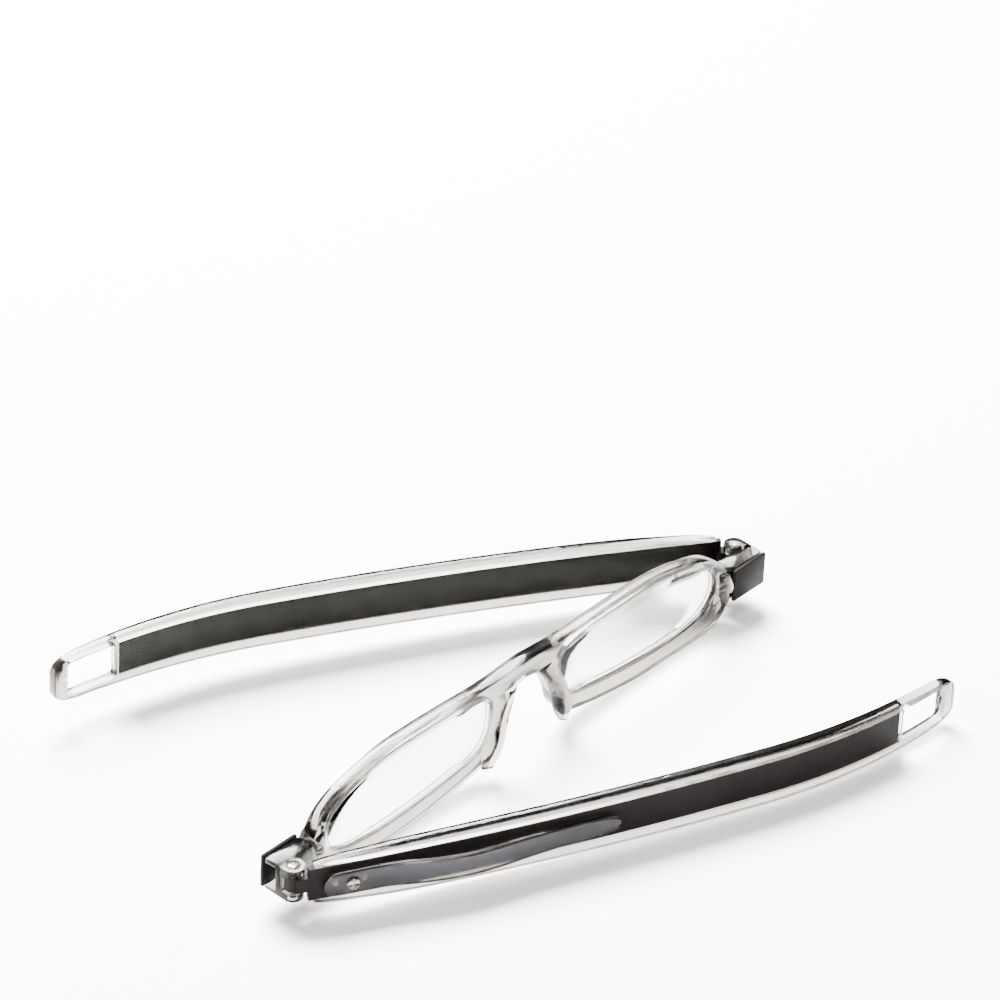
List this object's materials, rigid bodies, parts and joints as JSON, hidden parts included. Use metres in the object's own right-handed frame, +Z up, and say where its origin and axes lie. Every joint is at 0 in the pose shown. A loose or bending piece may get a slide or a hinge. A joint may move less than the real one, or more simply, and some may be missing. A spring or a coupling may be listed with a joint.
{
  "type": "folding reading glasses",
  "caption": "Slim clear reading glasses with black-cored temples that swivel on end blocks and fold flat along the front like a pen, with a spring pocket clip on one temple.",
  "frame": {"origin": "middle of the bounding box, on the surface the glasses stand on", "axes": "+X along the front from the left block to the right one, +Y away from the wearer, +Z up"},
  "size_m": [0.1372, 0.1252, 0.0215],
  "materials": {
    "clear": "clear, polished",
    "lens": "clear, optical",
    "black": "satin black",
    "nickel": "bright nickel",
    "nylon": "natural nylon"
  },
  "bodies": {
    "front": {"front_frame": "clear", "left_lens": "lens", "right_lens": "lens"},
    "left_block": {"left_end_block": "clear", "left_block_plate": "black", "left_swivel_screw": "nickel", "left_spring_washer": "nickel", "left_friction_washer": "nylon", "left_hinge_screw": "nickel"},
    "left_temple": {"left_temple_core": "black", "left_temple_shell": "clear", "pocket_clip": "clear", "clip_screw": "nickel"},
    "right_block": {"right_end_block": "clear", "right_block_plate": "black", "right_swivel_screw": "nickel", "right_spring_washer": "nickel", "right_friction_washer": "nylon", "right_hinge_screw": "nickel"},
    "right_temple": {"right_temple_core": "black", "right_temple_shell": "clear"}
  },
  "joints": [
    {"name": "left_swivel", "type": "hinge", "parent": "front", "child": "left_block", "pos_m": [-0.0595, -0.00771, 0.00802], "axis": [1, 0, 0], "range_deg": [-182.2, 177.8]},
    {"name": "right_swivel", "type": "hinge", "parent": "front", "child": "right_block", "pos_m": [0.0595, -0.00771, 0.00802], "axis": [1, 0, 0], "range_deg": [-182.2, 177.8]},
    {"name": "left_hinge", "type": "hinge", "parent": "left_block", "child": "left_temple", "pos_m": [-0.06635, -0.01155, 0.00787], "axis": [0, -0.0384, 0.9993], "range_deg": [-67.6, 23]},
    {"name": "right_hinge", "type": "hinge", "parent": "right_block", "child": "right_temple", "pos_m": [0.06635, -0.00386, 0.00817], "axis": [0, -0.0384, 0.9993], "range_deg": [-60.6, 30]}
  ],
  "couplings": [
    {"joint": "right_swivel", "follows": "left_swivel", "ratio": 1}
  ]
}
